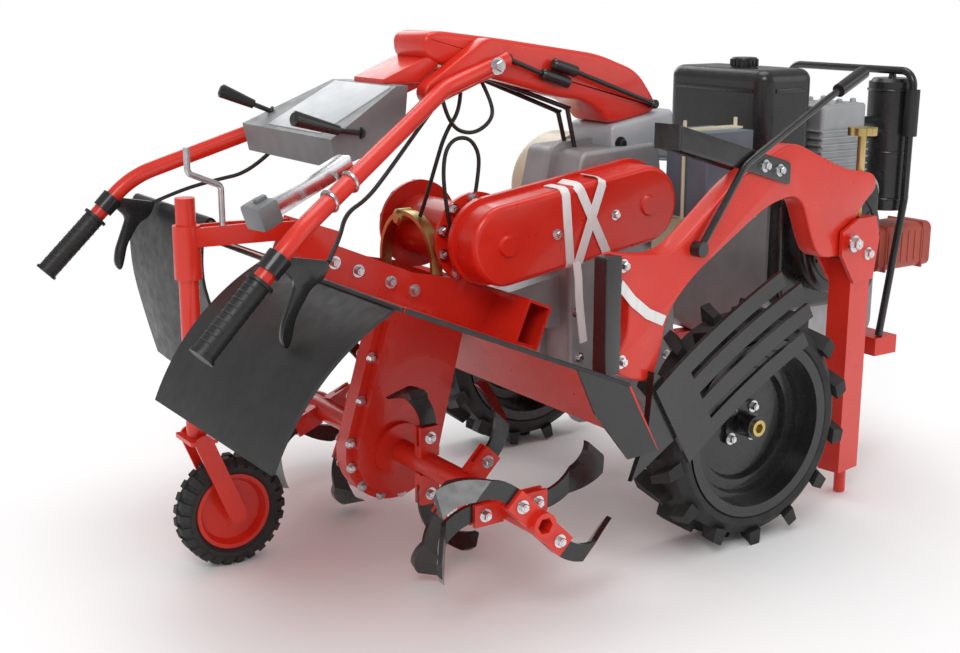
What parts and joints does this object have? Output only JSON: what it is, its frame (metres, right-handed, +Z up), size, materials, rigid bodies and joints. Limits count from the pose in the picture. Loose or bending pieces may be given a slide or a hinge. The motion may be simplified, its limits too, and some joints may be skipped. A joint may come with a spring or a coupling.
{
  "type": "power tiller",
  "caption": "Walk-behind power tiller with lugged drive wheels, a tined rotor under a hood, a tail wheel, drooping handlebars and a slatted plough lashed beside it.",
  "frame": {"origin": "on the ground, at the middle of the bounding box seen from above", "axes": "+X forward to the engine, +Y to the operator's left, +Z up"},
  "size_m": [2.0314, 1.128, 1.036],
  "materials": {
    "red_paint": "gloss",
    "black_paint": "gloss",
    "cream_paint": "gloss",
    "oxide_paint": "satin",
    "casting": "satin",
    "grey_sheet": "satin",
    "steel": "satin",
    "zinc": "satin",
    "tyre_rubber": "matte",
    "rubber": "matte",
    "grey_plastic": "matte",
    "black_plastic": "gloss",
    "battery_case": "satin",
    "webbing": "matte"
  },
  "bodies": {
    "wheel_right": {"tyre_right": "tyre_rubber", "wheel_right": "black_paint"},
    "wheel_left": {"tyre_left": "tyre_rubber", "wheel_left": "black_paint"},
    "chassis": {"axle": "zinc", "gearbox": "casting", "saddle_cover": "grey_sheet", "belt_guard": "cream_paint", "drive_cover": "red_paint", "tiller_frame": "red_paint", "chain_case": "red_paint", "hood": "oxide_paint", "apron_right": "rubber", "apron_left": "rubber", "side_flap_right": "black_paint", "side_flap_left": "black_paint", "tail_bracket": "red_paint", "tail_crank": "steel", "handle_beam": "red_paint", "console": "grey_plastic", "console_levers": "black_plastic", "handlebar_left": "red_paint", "handlebar_right": "red_paint", "grip_left": "rubber", "grip_right": "rubber", "clutch_lever_left": "steel", "clutch_lever_right": "steel", "switch_box": "grey_plastic", "engine_rails": "red_paint", "engine_block": "casting", "cylinder_head": "casting", "engine_shroud": "black_paint", "recoil_starter": "black_plastic", "fuel_tank": "black_plastic", "fuel_cap": "black_plastic", "air_cleaner": "black_plastic", "muffler": "oxide_paint", "front_guard": "black_paint", "guard_sleeve": "rubber", "battery": "battery_case", "battery_tray": "cream_paint", "battery_clamp": "cream_paint", "plough_post": "red_paint", "plough_beam": "red_paint", "depth_screw": "zinc", "plough_lever": "black_paint", "mouldboard_slats": "black_paint", "plough_share": "black_paint", "depth_sector": "zinc", "lashing_strap": "webbing"},
    "rotor": {"rotor_shaft": "red_paint", "tines_right": "black_paint", "tines_left": "black_paint"},
    "tail_wheel": {"tail_tyre": "tyre_rubber", "tail_rim": "red_paint"},
    "tail_post": {"tail_fork": "red_paint"}
  },
  "joints": [
    {"name": "wheel_right_spin", "type": "hinge", "parent": "chassis", "child": "wheel_right", "pos_m": [0.1737, -0.395, 0.25], "axis": [0, 1, 0], "continuous": true},
    {"name": "wheel_left_spin", "type": "hinge", "parent": "chassis", "child": "wheel_left", "pos_m": [0.1737, 0.395, 0.25], "axis": [0, 1, 0], "continuous": true},
    {"name": "rotor_spin", "type": "hinge", "parent": "chassis", "child": "rotor", "pos_m": [-0.4363, 0, 0.206], "axis": [0, 1, 0], "continuous": true},
    {"name": "tail_post_slide", "type": "slide", "parent": "chassis", "child": "tail_post", "axis": [0, 0, 1], "range_m": [-0.1, 0]},
    {"name": "tail_wheel_spin", "type": "hinge", "parent": "tail_post", "child": "tail_wheel", "pos_m": [-0.7643, 0.07, 0.112], "axis": [0, 1, 0], "continuous": true}
  ]
}
